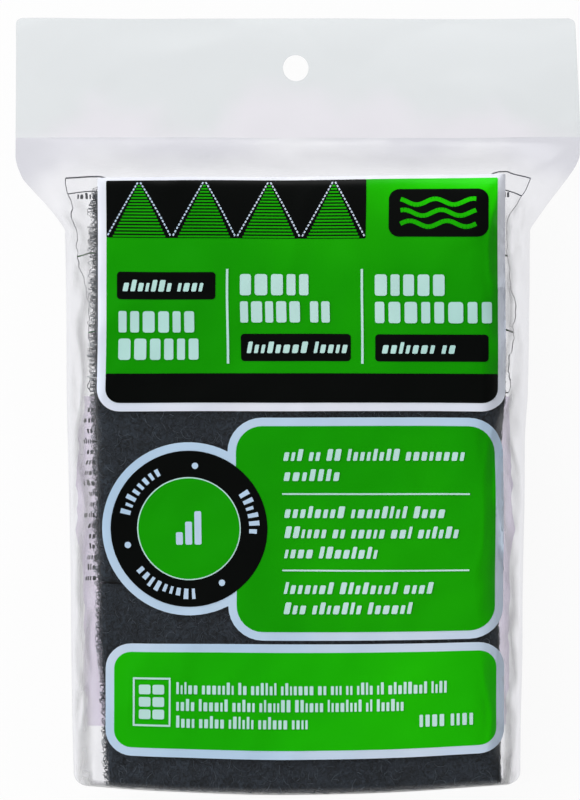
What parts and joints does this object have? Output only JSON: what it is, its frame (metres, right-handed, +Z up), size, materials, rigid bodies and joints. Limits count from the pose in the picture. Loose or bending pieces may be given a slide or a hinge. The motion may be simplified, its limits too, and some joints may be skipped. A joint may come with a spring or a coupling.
{
  "type": "steel wool pad pack",
  "caption": "Sealed clear film hang bag holding a block of synthetic steel wool pads, with a welded header, a round hang hole and printed colour panels on its front.",
  "frame": {"origin": "on the table under the middle of the pack's outline, as it lies on its back", "axes": "+X across the front to the right, +Y from the foot of the bag to its header, +Z up from the table through the printed front"},
  "size_m": [0.1396, 0.1924, 0.0297],
  "materials": {
    "clear_film": "clear glossy film, slightly milky where two layers are welded",
    "pad_fibre": "matt web of crimped charcoal fibres with abrasive grit",
    "white_ink": "cool white printed ground",
    "green_ink": "bright green printed field",
    "black_ink": "black printed field"
  },
  "bodies": {
    "root": {"bag": "clear_film", "pad_back_foot": "pad_fibre", "pad_back_middle": "pad_fibre", "pad_back_head": "pad_fibre", "pad_front_foot": "pad_fibre", "pad_front_middle": "pad_fibre", "pad_front_head": "pad_fibre", "white_panel_foot": "white_ink", "white_panel_middle": "white_ink", "white_panel_head": "white_ink", "green_panel_foot": "green_ink", "green_panel_middle": "green_ink", "green_panel_head": "green_ink", "grade_disc": "green_ink", "grade_ring": "black_ink", "black_band": "black_ink", "pattern_strip": "black_ink", "sign_field": "black_ink", "label_left": "black_ink", "label_middle": "black_ink", "label_right": "black_ink"}
  },
  "joints": []
}
